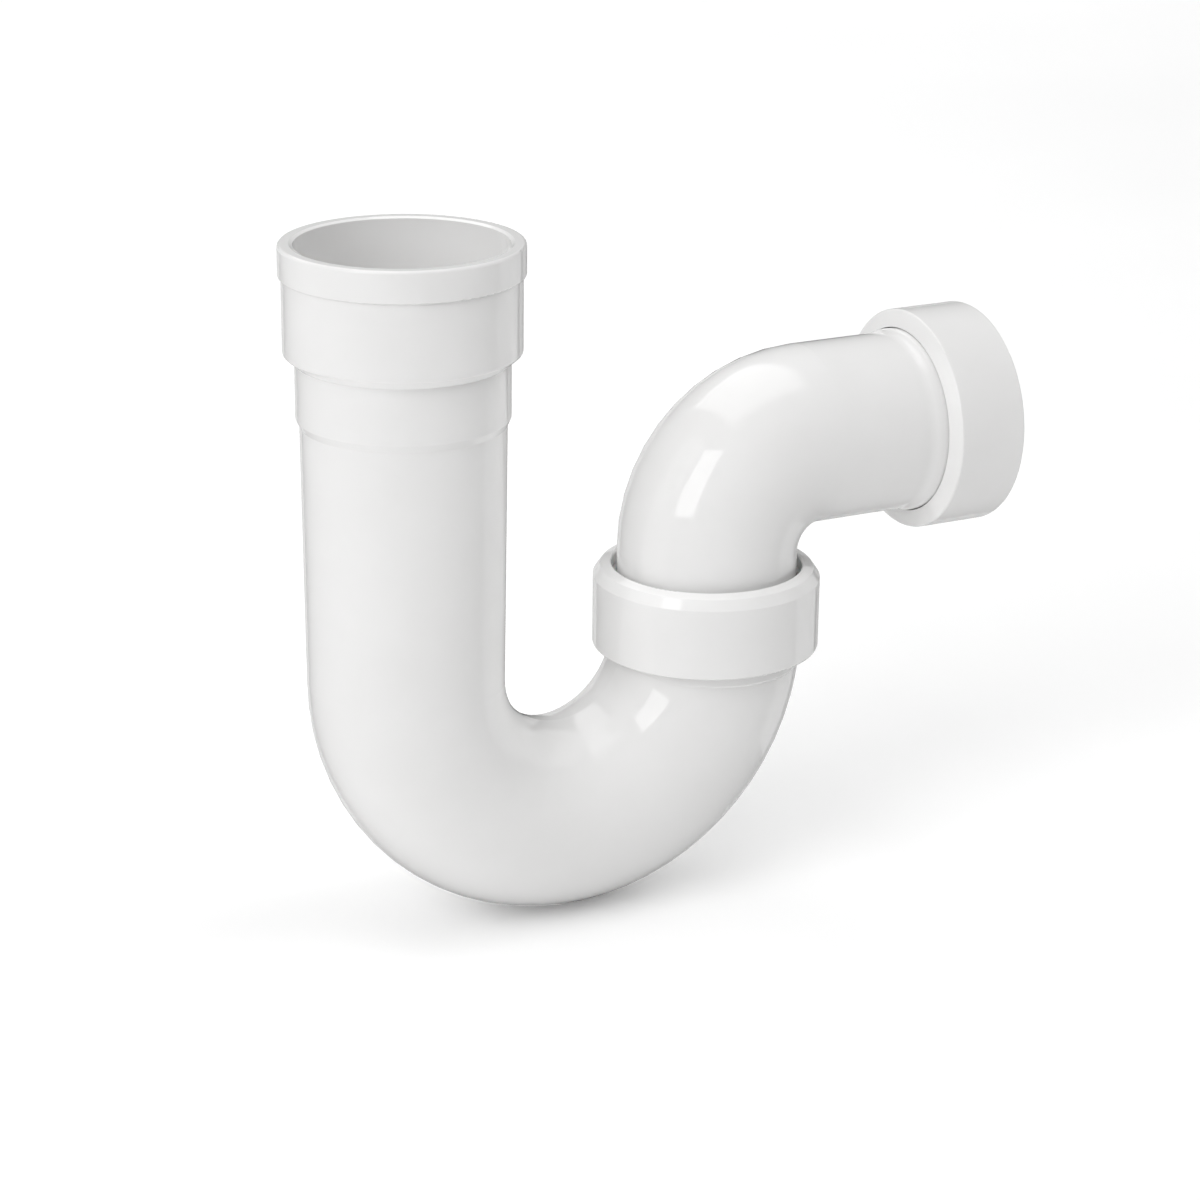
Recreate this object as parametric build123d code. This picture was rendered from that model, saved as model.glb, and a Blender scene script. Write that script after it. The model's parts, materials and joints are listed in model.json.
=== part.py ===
from build123d import *
import os

# A plastic P-trap. The origin is the centre of the inlet's mouth, +Z is up,
# and the outlet leaves along +X. Every size is in millimetres.

# Pipes that the two ends take
INLET_PIPE_R = 25.0
INLET_PIPE_CLEARANCE = 0.3
OUTLET_PIPE_R = 20.0
OUTLET_PIPE_CLEARANCE = 0.3

# Inlet: a lipped socket, a second step, and the leg
INLET_HEIGHT = 108.5
SOCKET_DEPTH = 24.0
SOCKET_WALL = 2.85
SOCKET_FLOOR = 1.9
LIP_PROUD = 0.75
LIP_HEIGHT = 7.6
LIP_ROUND = 0.8
LIP_UNDER_ROUND = 0.3
MOUTH_LEAD_WIDTH = 0.9
MOUTH_LEAD_DEPTH = 0.4
SOCKET_SHOULDER_FALL = 2.3
STEP_PROUD = 0.9
STEP_WALL = 3.0
STEP_LENGTH = 13.5
STEP_SHOULDER_FALL = 1.9
SHOULDER_ROUND = 0.6
LEG_DRAFT = 0.6

# The U-bend, a little narrower than the thread, so that the union nut clears it
BEND_RADIUS = 41.2
BEND_UNDER_THREAD = 1.3
BEND_WALL = 3.0

# The elbow and its arm
ELBOW_WALL = 3.1
ELBOW_BEND_RADIUS = 26.3
ELBOW_REACH = 67.8
SPIGOT_LENGTH = 14.0
SPIGOT_END_GAP = 0.5
SPIGOT_LEAD = 0.8
OUTLET_SOCKET_DEPTH = 24.0
OUTLET_SOCKET_WALL = 2.2

# The union's upstand, which the elbow's spigot slides into
UNION_MOUTH_HEIGHT = 12.0
UNION_CLEARANCE = 0.3
UNION_SOCKET_WALL = 2.4
UNION_BEAD_PROUD = 0.6
UNION_BEAD_BELOW_NUT = 3.3
UNION_BEAD_TUCK = 1.8

# The collar that ends the arm's plain tube
COLLAR_STAND = 0.7
COLLAR_FLARE = 2.4
COLLAR_ROUND = 6.0
COLLAR_SHOWN = 1.6
COLLAR_HIDDEN = 1.0
THREAD_UNDERCUT = 0.8

# Seals, slip rings and nuts, the same stack at both joints
SEAT_GAP = 0.1
SEAT_TAPER_DEPTH = 3.0
SEAT_TAPER_WIDTH = 1.2
SEAL_FLANGE = 1.6
SEAL_TOE_SHORT = 0.6
SEAL_RUNNING_CLEARANCE = 0.05
RING_THICKNESS = 1.2
RING_BORE_CLEARANCE = 0.3
RING_RIM_CLEARANCE = 0.4
NUT_LIP = 3.4

# The union nut
UNION_NUT_HEIGHT = 21.35
UNION_NUT_WALL = 2.2
UNION_NUT_HOLE_CLEARANCE = 1.3
UNION_NUT_CHAMFER_WIDTH = 1.7
UNION_NUT_CHAMFER_HEIGHT = 2.5
UNION_NUT_LAND_FALL = 1.0
UNION_NUT_ROUND = 0.5
UNION_THREAD_ROOM = 1.0

# The outlet nut
OUTLET_NUT_LENGTH = 19.4
OUTLET_NUT_WALL = 4.45
OUTLET_NUT_FACE_FALL = 1.2
OUTLET_NUT_HOLE_CLEARANCE = 0.9
OUTLET_NUT_ROUND = 0.5
COLLAR_RUNNING_CLEARANCE = 0.25

# How far the union nut unscrews before it meets the elbow's arm
THREAD_PITCH = 2.309
UNION_NUT_TURNS = 2.5
BEND_ALLOWANCE = 1.33

# Radii that follow
INLET_BORE_R = INLET_PIPE_R + INLET_PIPE_CLEARANCE
SOCKET_R = INLET_BORE_R + SOCKET_WALL
LIP_R = SOCKET_R + LIP_PROUD
OUTLET_BORE_R = OUTLET_PIPE_R + OUTLET_PIPE_CLEARANCE
ELBOW_TUBE_R = OUTLET_BORE_R + OUTLET_SOCKET_WALL
ELBOW_BORE_R = ELBOW_TUBE_R - ELBOW_WALL
UNION_BORE_R = ELBOW_TUBE_R + UNION_CLEARANCE
UNION_THREAD_CORE_R = UNION_BORE_R + UNION_SOCKET_WALL
UNION_NUT_BORE_R = UNION_THREAD_CORE_R + UNION_THREAD_ROOM
UNION_NUT_R = UNION_NUT_BORE_R + UNION_NUT_WALL
BEND_TUBE_R = UNION_THREAD_CORE_R - BEND_UNDER_THREAD
BEND_BORE_R = BEND_TUBE_R - BEND_WALL
UNION_BEAD_R = BEND_TUBE_R + UNION_BEAD_PROUD
LEG_TOP_R = BEND_TUBE_R + LEG_DRAFT
STEP_R = LEG_TOP_R + STEP_PROUD
COLLAR_R = ELBOW_TUBE_R + COLLAR_STAND
OUTLET_THREAD_CORE_R = COLLAR_R - THREAD_UNDERCUT
OUTLET_NUT_BORE_R = COLLAR_R + COLLAR_RUNNING_CLEARANCE
OUTLET_NUT_R = OUTLET_NUT_BORE_R + OUTLET_NUT_WALL

# Places that follow: heights are over the bend's centre line
BEND_Z = -INLET_HEIGHT
UNION_X = 2 * BEND_RADIUS
RING_SEAT = SEAT_GAP + SEAL_FLANGE + SEAT_GAP
RING_TOP = RING_SEAT + RING_THICKNESS
STACK = RING_TOP + SEAT_GAP + NUT_LIP
UNION_NUT_BOTTOM = UNION_MOUTH_HEIGHT + STACK - UNION_NUT_HEIGHT
UNION_TRAVEL = THREAD_PITCH * UNION_NUT_TURNS
ELBOW_RISE = UNION_MOUTH_HEIGHT + RING_TOP + UNION_TRAVEL + BEND_ALLOWANCE
OUTLET_HEIGHT = ELBOW_RISE + ELBOW_BEND_RADIUS
SPIGOT_END = UNION_MOUTH_HEIGHT - SPIGOT_LENGTH
OUTLET_NUT_NEAR = ELBOW_REACH + STACK - OUTLET_NUT_LENGTH

SHARP = 0.0


def turned(points):
    """A solid turned about the Z axis from (radius, height, corner rounding) points."""
    corners = [(radius, height) for radius, height, _ in points]
    roundings = [rounding for _, _, rounding in points]
    outline = FilletPolyline(*corners, radius=roundings, close=True)
    return revolve(Plane.XZ * make_face(outline), Axis.Z)


def at_union(height):
    """A place on the union's axis, at a height over the bend's centre line."""
    return Pos(UNION_X, 0, BEND_Z + height)


def at_outlet(reach):
    """A place on the outlet's axis, with Z turned to point out of the outlet."""
    return Location((UNION_X + reach, 0, BEND_Z + OUTLET_HEIGHT), (0, 90, 0))


def bend_rod(radius):
    """A round rod that follows the U-bend from the leg to the union."""
    axis = Axis((BEND_RADIUS, 0, BEND_Z), (0, -1, 0))
    return revolve(Pos(0, 0, BEND_Z) * Circle(radius), axis, 180)


def elbow_rod(radius, foot):
    """A round rod from its foot up the union's axis, round the elbow and along the arm."""
    arm_z = BEND_Z + OUTLET_HEIGHT
    end_x = UNION_X + ELBOW_REACH - OUTLET_SOCKET_DEPTH
    corners = ((UNION_X, BEND_Z + foot), (UNION_X, arm_z), (end_x, arm_z))
    path = Plane.XZ * FilletPolyline(*corners, radius=ELBOW_BEND_RADIUS)
    return sweep(at_union(foot) * Circle(radius), path=path)


def inlet_outside():
    """The lip, socket, step and leg, down to where the bend starts."""
    socket_end = -(SOCKET_DEPTH + SOCKET_FLOOR)
    step_start = socket_end - SOCKET_SHOULDER_FALL
    step_end = step_start - STEP_LENGTH
    leg_start = step_end - STEP_SHOULDER_FALL
    return turned(
        [
            (0, 0, SHARP),
            (LIP_R, 0, LIP_ROUND),
            (LIP_R, -LIP_HEIGHT, LIP_UNDER_ROUND),
            (SOCKET_R, -LIP_HEIGHT, SHARP),
            (SOCKET_R, socket_end, SHOULDER_ROUND),
            (STEP_R, step_start, SHARP),
            (STEP_R, step_end, SHOULDER_ROUND),
            (LEG_TOP_R, leg_start, SHARP),
            (BEND_TUBE_R, BEND_Z, SHARP),
            (0, BEND_Z, SHARP),
        ]
    )


def inlet_inside():
    """The socket's bore, the step's and the leg's, which the core pins leave."""
    step_bore_r = STEP_R - STEP_WALL
    leg_bore_r = LEG_TOP_R - BEND_WALL
    step_end = -(SOCKET_DEPTH + SOCKET_FLOOR + SOCKET_SHOULDER_FALL + STEP_LENGTH)
    leg_start = step_end - STEP_SHOULDER_FALL
    return turned(
        [
            (0, 0, SHARP),
            (INLET_BORE_R + MOUTH_LEAD_WIDTH, 0, SHARP),
            (INLET_BORE_R, -MOUTH_LEAD_DEPTH, SHARP),
            (INLET_BORE_R, -SOCKET_DEPTH, SHARP),
            (step_bore_r, -SOCKET_DEPTH, SHARP),
            (step_bore_r, step_end, SHARP),
            (leg_bore_r, leg_start, SHARP),
            (BEND_BORE_R, BEND_Z, SHARP),
            (0, BEND_Z, SHARP),
        ]
    )


def upstand_outside():
    """The bead under the union nut and the upstand that its thread is cut on."""
    bead_end = UNION_NUT_BOTTOM - UNION_BEAD_BELOW_NUT
    tucked_r = UNION_BEAD_R - UNION_BEAD_TUCK
    shoulder = UNION_THREAD_CORE_R - UNION_BEAD_R
    return turned(
        [
            (0, bead_end - UNION_BEAD_TUCK, SHARP),
            (tucked_r, bead_end - UNION_BEAD_TUCK, SHARP),
            (UNION_BEAD_R, bead_end, SHOULDER_ROUND),
            (UNION_BEAD_R, UNION_NUT_BOTTOM - shoulder / 2, SHARP),
            (UNION_THREAD_CORE_R, UNION_NUT_BOTTOM + shoulder / 2, SHARP),
            (UNION_THREAD_CORE_R, UNION_MOUTH_HEIGHT, SHARP),
            (0, UNION_MOUTH_HEIGHT, SHARP),
        ]
    )


def tapered_mouth(bore_r, mouth):
    """The outline points of a bore's end that widens into a seal's seat at its mouth."""
    return [
        (bore_r, mouth - SEAT_TAPER_DEPTH, SHARP),
        (bore_r + SEAT_TAPER_WIDTH, mouth, SHARP),
    ]


def upstand_inside():
    """The socket that the elbow's spigot slides into, down to its stop."""
    socket_floor = SPIGOT_END - SPIGOT_END_GAP
    return turned(
        [
            (0, socket_floor, SHARP),
            (UNION_BORE_R, socket_floor, SHARP),
            *tapered_mouth(UNION_BORE_R, UNION_MOUTH_HEIGHT),
            (0, UNION_MOUTH_HEIGHT, SHARP),
        ]
    )


def trap_bend():
    """The inlet, the U-bend and the union's upstand, moulded as one piece."""
    outside = inlet_outside() + bend_rod(BEND_TUBE_R)
    outside += at_union(0) * upstand_outside()
    inside = inlet_inside() + bend_rod(BEND_BORE_R)
    inside += at_union(0) * upstand_inside()
    return outside - inside


def spigot_outside():
    """The elbow's straight lower end, with a lead chamfer at its foot."""
    return turned(
        [
            (0, SPIGOT_END, SHARP),
            (ELBOW_TUBE_R - SPIGOT_LEAD, SPIGOT_END, SHARP),
            (ELBOW_TUBE_R, SPIGOT_END + SPIGOT_LEAD, SHARP),
            (ELBOW_TUBE_R, ELBOW_RISE, SHARP),
            (0, ELBOW_RISE, SHARP),
        ]
    )


def arm_outside():
    """The arm from the end of the bend to its mouth, with the collar and thread core."""
    collar_start = OUTLET_NUT_NEAR - COLLAR_SHOWN
    collar_end = OUTLET_NUT_NEAR + COLLAR_HIDDEN
    return turned(
        [
            (0, ELBOW_BEND_RADIUS, SHARP),
            (ELBOW_TUBE_R, ELBOW_BEND_RADIUS, SHARP),
            (ELBOW_TUBE_R, collar_start - COLLAR_FLARE, COLLAR_ROUND),
            (COLLAR_R, collar_start, COLLAR_ROUND),
            (COLLAR_R, collar_end, SHARP),
            (OUTLET_THREAD_CORE_R, collar_end + THREAD_UNDERCUT, SHARP),
            (OUTLET_THREAD_CORE_R, ELBOW_REACH, SHARP),
            (0, ELBOW_REACH, SHARP),
        ]
    )


def arm_inside():
    """The arm's waterway and the socket that the outlet pipe slides into."""
    socket_floor = ELBOW_REACH - OUTLET_SOCKET_DEPTH
    return turned(
        [
            (0, ELBOW_BEND_RADIUS, SHARP),
            (ELBOW_BORE_R, ELBOW_BEND_RADIUS, SHARP),
            (ELBOW_BORE_R, socket_floor, SHARP),
            (OUTLET_BORE_R, socket_floor, SHARP),
            *tapered_mouth(OUTLET_BORE_R, ELBOW_REACH),
            (0, ELBOW_REACH, SHARP),
        ]
    )


def outlet_elbow():
    """The spigot, the bend and the arm, moulded as one piece."""
    outside = elbow_rod(ELBOW_TUBE_R, SPIGOT_END + SPIGOT_LEAD)
    outside += at_union(0) * spigot_outside()
    outside += at_outlet(0) * arm_outside()
    inside = elbow_rod(ELBOW_BORE_R, SPIGOT_END)
    inside += at_outlet(0) * arm_inside()
    return outside - inside


def tapered_seal(bore_r, seat_bore_r, flange_r):
    """A rubber washer with a flange over a mouth's rim and a cone in its seat."""
    slope = SEAT_TAPER_WIDTH / SEAT_TAPER_DEPTH
    toe = -(SEAT_TAPER_DEPTH - SEAL_TOE_SHORT)
    toe_r = seat_bore_r + SEAL_TOE_SHORT * slope - SEAT_GAP
    root_r = seat_bore_r + SEAT_TAPER_WIDTH - SEAT_GAP
    return turned(
        [
            (bore_r, toe, SHARP),
            (toe_r, toe, SHARP),
            (root_r, 0, SHARP),
            (root_r, SEAT_GAP, SHARP),
            (flange_r, SEAT_GAP, SHARP),
            (flange_r, SEAT_GAP + SEAL_FLANGE, SHARP),
            (bore_r, SEAT_GAP + SEAL_FLANGE, SHARP),
        ]
    )


def slip_ring(tube_r, nut_bore_r):
    """A thin hard ring that lets a nut turn without dragging the seal."""
    bore_r = tube_r + RING_BORE_CLEARANCE
    rim_r = nut_bore_r - RING_RIM_CLEARANCE
    return turned(
        [
            (bore_r, RING_SEAT, SHARP),
            (rim_r, RING_SEAT, SHARP),
            (rim_r, RING_TOP, SHARP),
            (bore_r, RING_TOP, SHARP),
        ]
    )


def union_nut():
    """The ring nut at the union: open below, a chamfered lip above."""
    top = UNION_NUT_HEIGHT
    lip_under = top - NUT_LIP
    hole_r = ELBOW_TUBE_R + UNION_NUT_HOLE_CLEARANCE
    land_r = UNION_NUT_R - UNION_NUT_CHAMFER_WIDTH
    land_edge = top - UNION_NUT_LAND_FALL
    return turned(
        [
            (UNION_NUT_BORE_R, 0, SHARP),
            (UNION_NUT_R, 0, UNION_NUT_ROUND),
            (UNION_NUT_R, land_edge - UNION_NUT_CHAMFER_HEIGHT, UNION_NUT_ROUND),
            (land_r, land_edge, UNION_NUT_ROUND),
            (hole_r, top, UNION_NUT_ROUND),
            (hole_r, lip_under, SHARP),
            (UNION_NUT_BORE_R, lip_under, SHARP),
        ]
    )


def outlet_nut():
    """The ring nut at the outlet: a coned face towards the elbow, a lip round the pipe."""
    end = OUTLET_NUT_LENGTH
    lip_under = end - NUT_LIP
    hole_r = OUTLET_PIPE_R + OUTLET_NUT_HOLE_CLEARANCE
    return turned(
        [
            (OUTLET_NUT_BORE_R, 0, SHARP),
            (OUTLET_NUT_R, OUTLET_NUT_FACE_FALL, OUTLET_NUT_ROUND),
            (OUTLET_NUT_R, end, OUTLET_NUT_ROUND),
            (hole_r, end, OUTLET_NUT_ROUND),
            (hole_r, lip_under, SHARP),
            (OUTLET_NUT_BORE_R, lip_under, SHARP),
        ]
    )


union_mouth = at_union(UNION_MOUTH_HEIGHT)
outlet_mouth = at_outlet(ELBOW_REACH)
union_seal_bore_r = ELBOW_TUBE_R + SEAL_RUNNING_CLEARANCE

pieces = {
    "trap_bend": trap_bend(),
    "union_seal": union_mouth * tapered_seal(union_seal_bore_r, UNION_BORE_R, UNION_THREAD_CORE_R),
    "union_slip_ring": union_mouth * slip_ring(ELBOW_TUBE_R, UNION_NUT_BORE_R),
    "union_nut": at_union(UNION_NUT_BOTTOM) * union_nut(),
    "outlet_elbow": outlet_elbow(),
    "outlet_seal": outlet_mouth * tapered_seal(OUTLET_BORE_R, OUTLET_BORE_R, OUTLET_THREAD_CORE_R),
    "outlet_slip_ring": outlet_mouth * slip_ring(OUTLET_PIPE_R, OUTLET_NUT_BORE_R),
    "outlet_nut": at_outlet(OUTLET_NUT_NEAR) * outlet_nut(),
}

os.makedirs("parts", exist_ok=True)
for name, shape in pieces.items():
    export_step(shape, f"parts/{name}.step")
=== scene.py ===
import json
import math

import bmesh
import bpy
from mathutils import Matrix, Vector


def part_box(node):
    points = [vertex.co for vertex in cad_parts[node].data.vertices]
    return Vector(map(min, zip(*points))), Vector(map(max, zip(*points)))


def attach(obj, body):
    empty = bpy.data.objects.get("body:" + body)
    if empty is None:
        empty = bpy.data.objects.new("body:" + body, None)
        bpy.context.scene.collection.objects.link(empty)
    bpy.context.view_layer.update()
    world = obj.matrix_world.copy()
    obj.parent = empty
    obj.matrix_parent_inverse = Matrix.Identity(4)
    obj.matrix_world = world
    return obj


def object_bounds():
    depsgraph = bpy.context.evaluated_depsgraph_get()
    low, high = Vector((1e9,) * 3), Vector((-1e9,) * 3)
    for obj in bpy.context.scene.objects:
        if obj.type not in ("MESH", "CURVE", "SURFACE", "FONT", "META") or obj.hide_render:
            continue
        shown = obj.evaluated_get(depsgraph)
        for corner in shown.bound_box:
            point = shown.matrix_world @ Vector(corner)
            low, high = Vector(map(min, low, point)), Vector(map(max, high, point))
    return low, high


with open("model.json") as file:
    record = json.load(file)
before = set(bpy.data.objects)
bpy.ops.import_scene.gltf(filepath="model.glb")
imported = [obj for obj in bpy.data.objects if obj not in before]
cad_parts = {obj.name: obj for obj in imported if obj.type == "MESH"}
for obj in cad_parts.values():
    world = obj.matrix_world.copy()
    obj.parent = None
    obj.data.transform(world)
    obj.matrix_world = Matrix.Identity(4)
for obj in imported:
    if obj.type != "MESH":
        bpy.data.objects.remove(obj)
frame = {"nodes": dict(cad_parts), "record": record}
cad_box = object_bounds()

MM = 0.001

# Camera: a long lens, from the left and a little above
CAMERA_PLACE = Vector((-0.2932, -0.6671, 0.1741))
CAMERA_ELEVATION = 19.70
CAMERA_AZIMUTH = 25.39
CAMERA_LENS = 96.85
CAMERA_SENSOR = 36
CAMERA_SHIFT = (0.0887, -0.0038)
CAMERA_NEAREST = 0.01

# Threads: a helical ridge on the upstand, on the arm and inside each nut
THREAD_PITCH = 2.309 * MM
THREAD_STEPS = 72
THREAD_FADE_TURNS = 0.22
THREAD_END_SHARE = 0.02
RIDGE_HEIGHT = 0.75 * MM
RIDGE_BASE = 1.3 * MM
RIDGE_CREST = 0.4 * MM
RIDGE_SINK = 0.06 * MM
RIDGE_CORNERS = 4
OUTWARDS = 1
INWARDS = -1

# Where the ridges sit: radii as in the solids, heights measured from each nut's foot
UNION_CORE_R = 25.2 * MM
UNION_NUT_BORE_R = 26.2 * MM
UNION_THREAD_START = 1.8 * MM
UNION_MOUTH_OVER_NUT_FOOT = 14.85 * MM
OUTLET_CORE_R = 22.4 * MM
OUTLET_NUT_BORE_R = 23.45 * MM
OUTLET_THREAD_START = 3.0 * MM
OUTLET_MOUTH_OVER_NUT_FOOT = 12.9 * MM
MOUTH_LAND = 0.9 * MM
NUT_LIP = 3.4 * MM
NUT_THREAD_RELIEF = 4.4 * MM

# Materials: where noise usually lies, and how deep the finest unevenness goes
NOISE_LOW = 0.3
NOISE_HIGH = 0.7
SKIN_DEPTH = 0.05 * MM

# Studio: turns and heights are in degrees, and turns go to the right from the camera's side
CAMERA_SIDE = -118.6
STUDIO_CENTRE = Vector((0, 0, -0.12))
FLOOR_SIZE = 8.0
FLOOR_GLOW = 0.10
SURROUND_LEVEL = 0.9
SOFT_SUN_SPREAD = 50
SOFT_SUNS = dict(
    key=dict(turn=-20, height=40, strength=0.80),
    top_right=dict(turn=60, height=65, strength=0.48),
    right=dict(turn=100, height=40, strength=0.80),
    left=dict(turn=-100, height=40, strength=0.24),
    low_left=dict(turn=-110, height=14, strength=0.25),
    back_left=dict(turn=-150, height=14, strength=0.70),
    back_right=dict(turn=150, height=14, strength=0.30),
)
WINDOW = dict(
    place=(-0.994, -0.436, 0.53),
    aim=(0.08, -0.015, -0.07),
    size=(0.66, 0.87),
    radiance=2.9,
)
OVERHEAD = dict(aim=(-0.02, 0.61, 0), radiance=0.5)
OVERHEAD_PLACE = Vector((-0.02, 0.61, 1.05))
OVERHEAD_SIZE = Vector((0.88, 1.76))
OVERHEAD_LAYERS = (0.92, 1.0, 1.08)
OVERHEAD_LAYER_GAP = Vector((0, 0, 0.01))
BACKDROP = dict(place=(1.25, 1.75, 0.65), aim=(1.25, 1.75, 0), size=(1.2, 1.2), radiance=0.8)
STRIP = dict(place=(1.54, 0.18, -0.55), aim=(0.05, 0, -0.55), size=(1.12, 1.2), radiance=0.6)
LIMB_CARD_REACH = 1.5
LIMB_CARDS = dict(
    right_card=dict(turn=163, height=-16, size=(0.55, 1.2), radiance=0.42),
    left_card=dict(turn=-165, height=-16, size=(0.75, 1.2), radiance=0.6),
)


def new_material(name):
    """A new node material, with its tree and its shader."""
    material = bpy.data.materials.new(name)
    material.use_nodes = True
    tree = material.node_tree
    shader = tree.nodes["Principled BSDF"]
    return material, tree, shader


def noise(tree, scale, detail):
    """Noise that follows the piece itself, so that it stays put as the piece moves."""
    place = tree.nodes.new("ShaderNodeTexCoord")
    texture = tree.nodes.new("ShaderNodeTexNoise")
    texture.inputs["Scale"].default_value = scale
    texture.inputs["Detail"].default_value = detail
    tree.links.new(place.outputs["Object"], texture.inputs["Vector"])
    return texture.outputs["Fac"]


def noise_between(tree, scale, detail, low, high):
    """Noise that is spread over a range of values."""
    node = tree.nodes.new("ShaderNodeMapRange")
    node.inputs["From Min"].default_value = NOISE_LOW
    node.inputs["From Max"].default_value = NOISE_HIGH
    node.inputs["To Min"].default_value = low
    node.inputs["To Max"].default_value = high
    tree.links.new(noise(tree, scale, detail), node.inputs["Value"])
    return node.outputs["Result"]


def mottle(tree, shader, scale, detail, dark, light):
    """A colour that wanders between two close ones."""
    node = tree.nodes.new("ShaderNodeMix")
    node.data_type = "RGBA"
    node.inputs["A"].default_value = (*dark, 1)
    node.inputs["B"].default_value = (*light, 1)
    tree.links.new(noise_between(tree, scale, detail, 0, 1), node.inputs["Factor"])
    tree.links.new(node.outputs["Result"], shader.inputs["Base Color"])


def uneven_gloss(tree, shader, scale, detail, low, high):
    """A roughness that wanders between two values."""
    value = noise_between(tree, scale, detail, low, high)
    tree.links.new(value, shader.inputs["Roughness"])


def fine_skin(tree, shader, scale, detail, strength):
    """A surface that is very finely uneven."""
    node = tree.nodes.new("ShaderNodeBump")
    node.inputs["Strength"].default_value = strength
    node.inputs["Distance"].default_value = SKIN_DEPTH
    tree.links.new(noise(tree, scale, detail), node.inputs["Height"])
    tree.links.new(node.outputs["Normal"], shader.inputs["Normal"])


def moulded_pvc():
    """Glossy white moulded plastic, with a faint flow mottle and a mould's fine skin."""
    material, tree, shader = new_material("moulded_pvc")
    dark = (0.859, 0.855, 0.850)
    light = (0.887, 0.884, 0.880)
    mottle(tree, shader, scale=38, detail=3, dark=dark, light=light)
    uneven_gloss(tree, shader, scale=95, detail=4, low=0.045, high=0.065)
    fine_skin(tree, shader, scale=420, detail=3, strength=0.06)
    shader.inputs["IOR"].default_value = 1.53
    return material


def seal_rubber():
    """Black rubber with a dusty bloom."""
    material, tree, shader = new_material("seal_rubber")
    dark = (0.05, 0.05, 0.054)
    light = (0.075, 0.075, 0.08)
    mottle(tree, shader, scale=160, detail=4, dark=dark, light=light)
    uneven_gloss(tree, shader, scale=240, detail=3, low=0.55, high=0.72)
    fine_skin(tree, shader, scale=900, detail=2, strength=0.2)
    return material


def waxy_polythene():
    """Natural polythene for the slip rings, cloudy and a little see-through at the edge."""
    material, tree, shader = new_material("waxy_polythene")
    dark = (0.7, 0.72, 0.71)
    light = (0.77, 0.79, 0.78)
    mottle(tree, shader, scale=120, detail=3, dark=dark, light=light)
    uneven_gloss(tree, shader, scale=200, detail=3, low=0.38, high=0.5)
    fine_skin(tree, shader, scale=600, detail=2, strength=0.1)
    shader.inputs["Subsurface Weight"].default_value = 0.25
    shader.inputs["Subsurface Scale"].default_value = 1.0 * MM
    return material


def pale_floor():
    """A matt, nearly white floor that glows a little, which lightens the shadows on it."""
    material, tree, shader = new_material("pale_floor")
    dark = (0.93, 0.93, 0.93)
    light = (0.95, 0.95, 0.95)
    mottle(tree, shader, scale=6, detail=3, dark=dark, light=light)
    shader.inputs["Roughness"].default_value = 0.9
    shader.inputs["Specular IOR Level"].default_value = 0.1
    shader.inputs["Emission Color"].default_value = (1, 1, 1, 1)
    shader.inputs["Emission Strength"].default_value = FLOOR_GLOW
    return material


def dress_nodes(finishes):
    """Gives every solid the material of its slot."""
    for row in frame["record"]["subparts"]:
        node = frame["nodes"][row["node"]]
        node.data.materials.clear()
        node.data.materials.append(finishes[row["material_slot"]])


def ridge_section(core_r, out, height, fade):
    """The ridge's four corners at one place along it, as radius and height."""
    crest_r = core_r + out * RIDGE_HEIGHT * fade
    base_r = core_r - out * RIDGE_SINK
    return (
        (base_r, height - RIDGE_BASE / 2),
        (crest_r, height - RIDGE_CREST / 2),
        (crest_r, height + RIDGE_CREST / 2),
        (base_r, height + RIDGE_BASE / 2),
    )


def ridge_rings(shape, core_r, out, start, end):
    """The ridge's corners, ring after ring along its helix, which fades at both ends."""
    turns = (end - start) / THREAD_PITCH
    steps = int(turns * THREAD_STEPS)
    rings = []
    for step in range(steps + 1):
        turn = turns * step / steps
        angle = 2 * math.pi * turn
        height = start + turn * THREAD_PITCH
        fade = min(1, turn / THREAD_FADE_TURNS, (turns - turn) / THREAD_FADE_TURNS)
        section = ridge_section(core_r, out, height, max(fade, THREAD_END_SHARE))
        corners = [(r * math.cos(angle), r * math.sin(angle), z) for r, z in section]
        rings.append([shape.verts.new(corner) for corner in corners])
    return rings


def join_rings(shape, rings):
    """Joins the rings into one closed form."""
    for one, two in zip(rings, rings[1:]):
        for side in range(RIDGE_CORNERS):
            after = (side + 1) % RIDGE_CORNERS
            shape.faces.new((one[side], one[after], two[after], two[side]))
    shape.faces.new(rings[0])
    shape.faces.new(rings[-1])
    bmesh.ops.recalc_face_normals(shape, faces=shape.faces)


def thread_ridge(name, core_r, out, start, end):
    """A helical ridge about Z that stands off a core radius, outwards or inwards."""
    mesh = bpy.data.meshes.new(name)
    shape = bmesh.new()
    join_rings(shape, ridge_rings(shape, core_r, out, start, end))
    shape.to_mesh(mesh)
    shape.free()
    piece = bpy.data.objects.new(name, mesh)
    bpy.context.scene.collection.objects.link(piece)
    return piece


def add_thread(name, body, place, ridge, material):
    """Puts a ridge in place and lets it ride on its body."""
    piece = thread_ridge(name, *ridge)
    piece.matrix_world = place
    piece.data.materials.append(material)
    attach(piece, body)


def add_union_threads(material):
    """The upstand's thread and the union nut's own, half a pitch apart so that they mesh."""
    low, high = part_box("union_nut")
    place = Matrix.Translation(((low.x + high.x) / 2, 0, low.z))
    male_end = UNION_MOUTH_OVER_NUT_FOOT - MOUTH_LAND
    male = (UNION_CORE_R, OUTWARDS, UNION_THREAD_START, male_end)
    nut_start = UNION_THREAD_START + THREAD_PITCH / 2
    nut_end = high.z - low.z - NUT_LIP - NUT_THREAD_RELIEF
    female = (UNION_NUT_BORE_R, INWARDS, nut_start, nut_end)
    add_thread("union_male_thread", "trap", place, male, material)
    add_thread("union_nut_thread", "union_nut", place, female, material)


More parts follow.
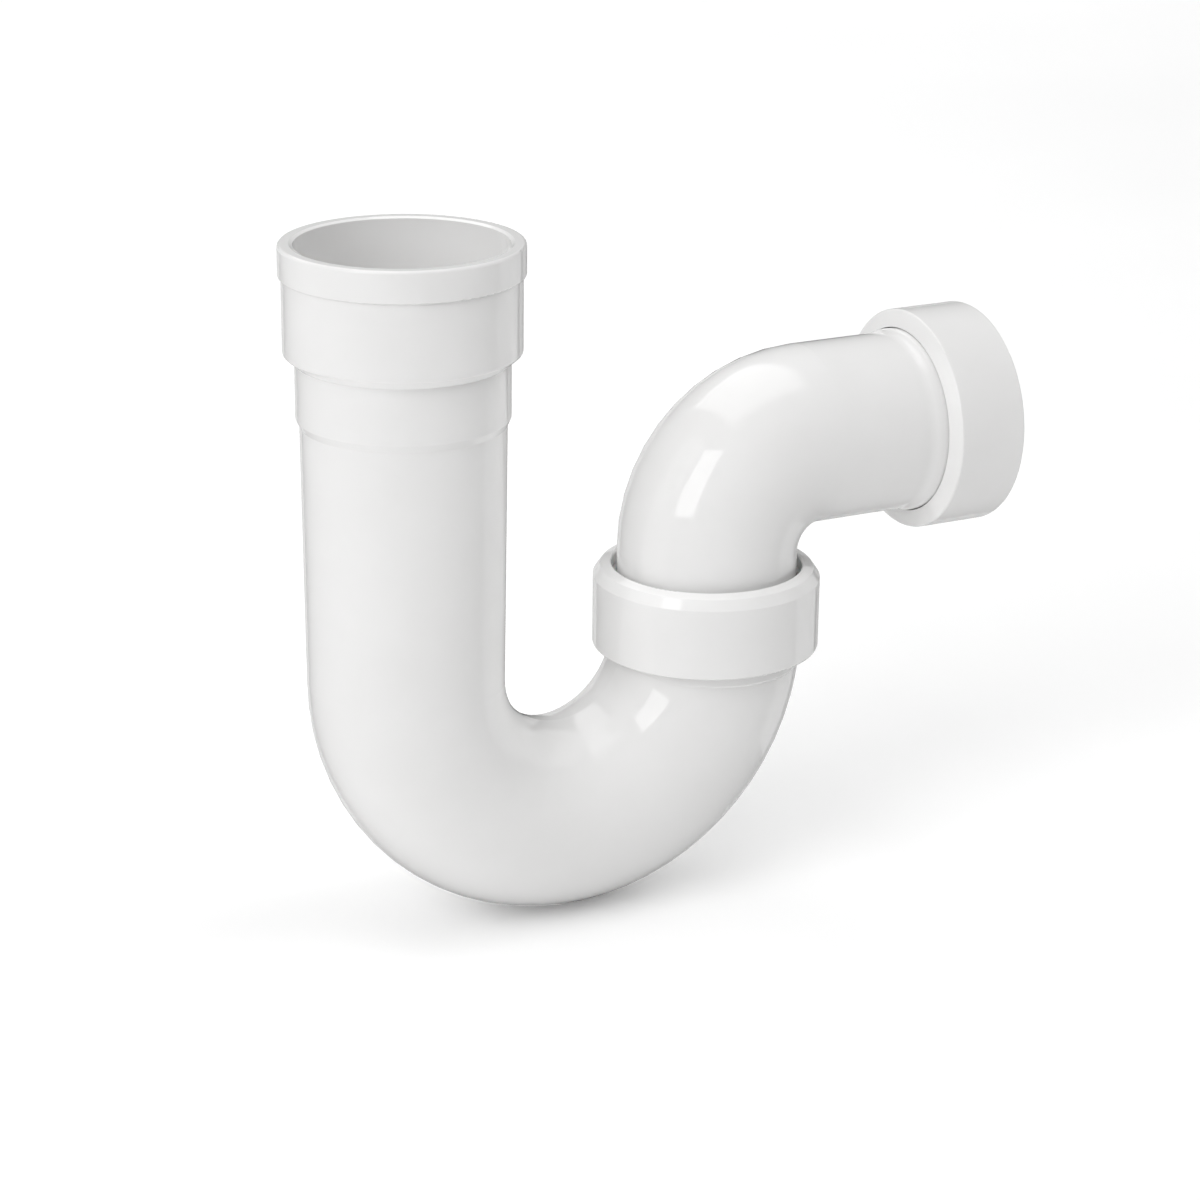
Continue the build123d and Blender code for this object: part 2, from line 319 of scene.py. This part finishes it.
def add_outlet_threads(material):
    """The arm's thread and the outlet nut's own, half a pitch apart so that they mesh."""
    low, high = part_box("outlet_nut")
    along_x = Matrix.Rotation(math.radians(90), 4, "Y")
    place = Matrix.Translation((low.x, 0, (low.z + high.z) / 2)) @ along_x
    male_end = OUTLET_MOUTH_OVER_NUT_FOOT - MOUTH_LAND
    male = (OUTLET_CORE_R, OUTWARDS, OUTLET_THREAD_START, male_end)
    nut_start = OUTLET_THREAD_START - THREAD_PITCH / 2
    nut_end = high.x - low.x - NUT_LIP - NUT_THREAD_RELIEF
    female = (OUTLET_NUT_BORE_R, INWARDS, nut_start, nut_end)
    add_thread("outlet_male_thread", "elbow", place, male, material)
    add_thread("outlet_nut_thread", "outlet_nut", place, female, material)


def add_floor(height):
    """A wide floor that the bend's foot touches."""
    bpy.ops.mesh.primitive_plane_add(size=FLOOR_SIZE, location=(0, 0, height))
    floor = bpy.context.object
    floor.name = "floor"
    floor.data.materials.append(pale_floor())
    floor.visible_glossy = False


def add_surround():
    """A plain pale surround behind the floor's edge, which lights nothing."""
    world = bpy.data.worlds.new("studio")
    world.cycles_visibility.diffuse = False
    world.cycles_visibility.glossy = False
    world.use_nodes = True
    background = world.node_tree.nodes["Background"]
    background.inputs["Color"].default_value = (1, 1, 1, 1)
    background.inputs["Strength"].default_value = SURROUND_LEVEL
    bpy.context.scene.world = world


def direction(turn, height):
    """Which way a light lies, as a vector from the trap."""
    around = math.radians(CAMERA_SIDE + turn)
    up = math.radians(height)
    return Vector((math.cos(up) * math.cos(around), math.cos(up) * math.sin(around), math.sin(up)))


def add_light(name, kind, look):
    """A light of a kind that looks along a vector, and its holder."""
    light = bpy.data.lights.new(name, kind)
    holder = bpy.data.objects.new(name, light)
    holder.rotation_euler = look.to_track_quat("-Z", "Y").to_euler()
    bpy.context.scene.collection.objects.link(holder)
    return light, holder


def add_soft_sun(name, turn, height, strength):
    """A broad light from a direction, which shades without a reflection of its own."""
    light, holder = add_light(name, "SUN", -direction(turn, height))
    light.angle = math.radians(SOFT_SUN_SPREAD)
    light.energy = strength
    holder.visible_glossy = False


def add_softbox(name, place, aim, size, radiance):
    """A rectangular light that looks at a point, as bright as its radiance says."""
    light, holder = add_light(name, "AREA", Vector(aim) - Vector(place))
    light.shape = "RECTANGLE"
    light.size, light.size_y = size
    light.energy = math.pi * size[0] * size[1] * radiance
    holder.location = place
    return holder


def add_overhead():
    """A light above the far side, in layers of growing size, so that its edges are softer."""
    for layer, share in enumerate(OVERHEAD_LAYERS):
        place = OVERHEAD_PLACE + layer * OVERHEAD_LAYER_GAP
        add_softbox("overhead", place=place, size=share * OVERHEAD_SIZE, **OVERHEAD)


def add_limb_card(name, turn, height, size, radiance):
    """A dim card behind the trap and below the floor, which only glossy sides reflect."""
    place = STUDIO_CENTRE + LIMB_CARD_REACH * direction(turn, height)
    add_softbox(name, place, STUDIO_CENTRE, size, radiance).visible_diffuse = False


def add_lights():
    """All the lights: some only shade, and some are there only to be reflected."""
    for name, settings in SOFT_SUNS.items():
        add_soft_sun(name, **settings)
    add_softbox("window", **WINDOW)
    add_overhead()
    add_softbox("strip", **STRIP).visible_diffuse = False
    add_softbox("backdrop", **BACKDROP).visible_glossy = False
    for name, settings in LIMB_CARDS.items():
        add_limb_card(name, **settings)


def add_camera():
    """The photograph's view."""
    camera = bpy.data.cameras.new("camera")
    camera.lens = CAMERA_LENS
    camera.sensor_width = CAMERA_SENSOR
    camera.shift_x, camera.shift_y = CAMERA_SHIFT
    camera.clip_start = CAMERA_NEAREST
    holder = bpy.data.objects.new("camera", camera)
    holder.location = CAMERA_PLACE
    tilt = math.radians(90 - CAMERA_ELEVATION)
    holder.rotation_euler = (tilt, 0, math.radians(-CAMERA_AZIMUTH))
    bpy.context.scene.collection.objects.link(holder)
    bpy.context.scene.camera = holder


pvc = moulded_pvc()
dress_nodes({"pvc": pvc, "seal_rubber": seal_rubber(), "slip_ring": waxy_polythene()})
add_union_threads(pvc)
add_outlet_threads(pvc)
add_floor(cad_box[0].z)
add_surround()
add_lights()
add_camera()
bpy.context.scene.view_settings.view_transform = "Standard"
